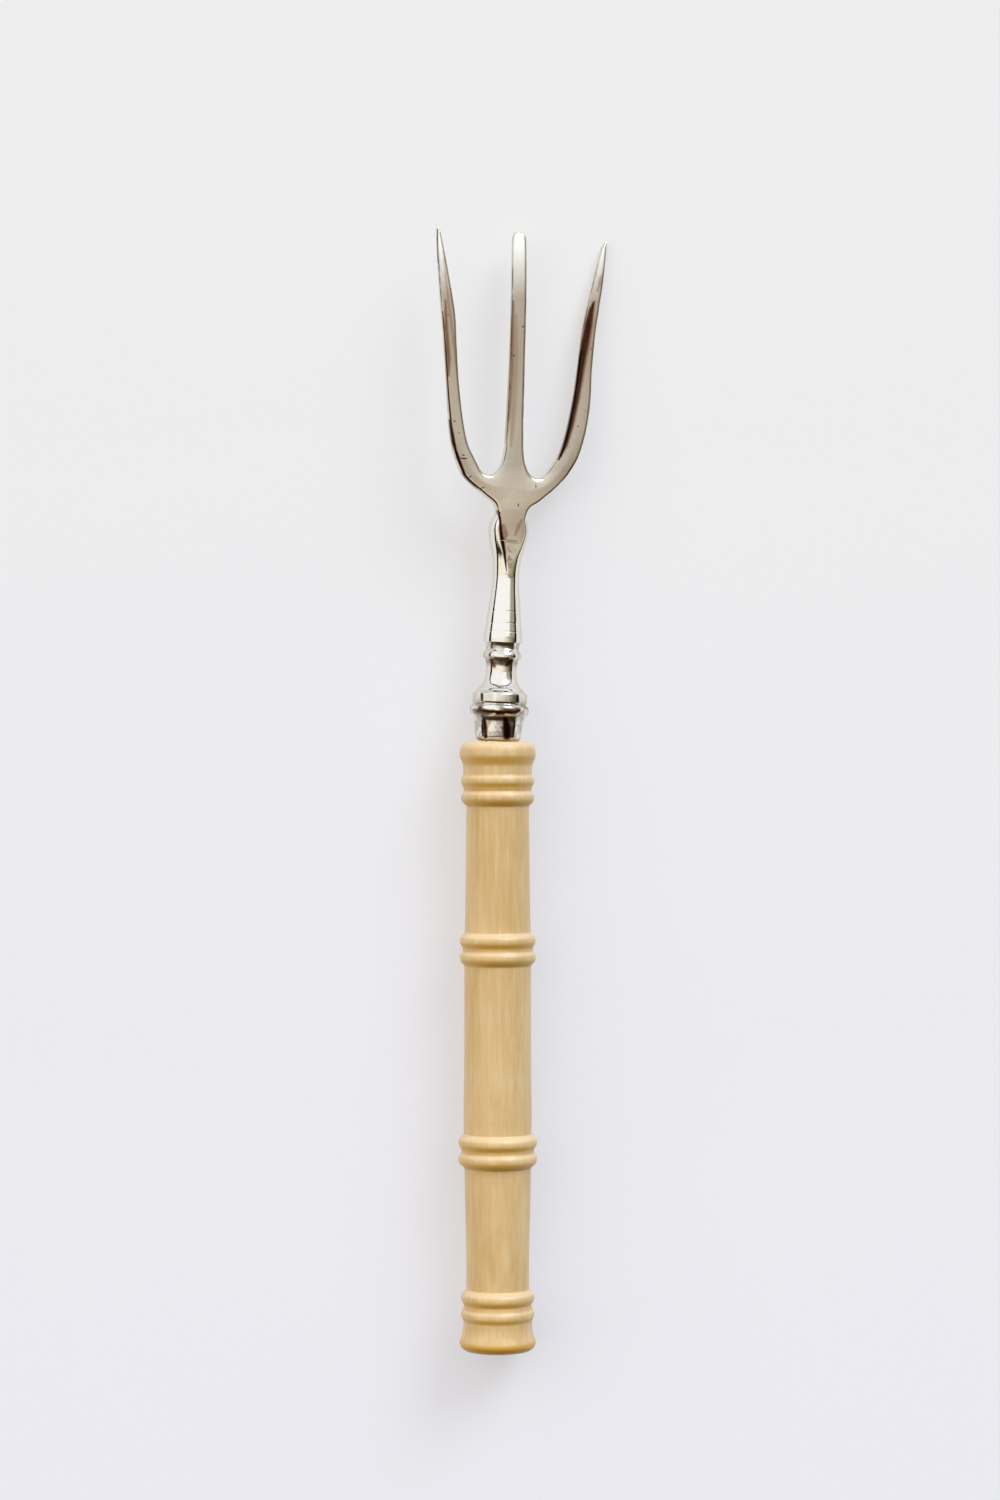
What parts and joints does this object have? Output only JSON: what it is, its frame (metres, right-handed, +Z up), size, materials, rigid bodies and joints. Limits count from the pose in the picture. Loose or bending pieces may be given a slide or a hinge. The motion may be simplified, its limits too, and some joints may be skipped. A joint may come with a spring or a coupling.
{
  "type": "oyster fork",
  "caption": "Slender oyster fork: a flat flared head of three pointed tines on a turned stem and ringed bolster, in a turned wooden handle with paired rings.",
  "frame": {"origin": "centre of the flat face at the butt of the handle, on the handle's axis", "axes": "+Y runs up the handle's axis from the butt to the tines; +Z is up when the fork lies on a table, tines bent down; +X is to the right seen from above"},
  "size_m": [0.0246, 0.1603, 0.0112],
  "materials": {
    "head_metal": "satin, worn and slightly pitted",
    "solder": "dull",
    "stem_metal": "polished, with fine turned lines",
    "bolster_metal": "mirror polished",
    "varnished_wood": "pale close-grained wood under satin varnish",
    "cement": "set cement, hidden"
  },
  "bodies": {
    "root": {"fork_head": "head_metal", "braze": "solder", "stem": "stem_metal", "bolster": "bolster_metal", "handle": "varnished_wood", "cement": "cement"}
  },
  "joints": []
}
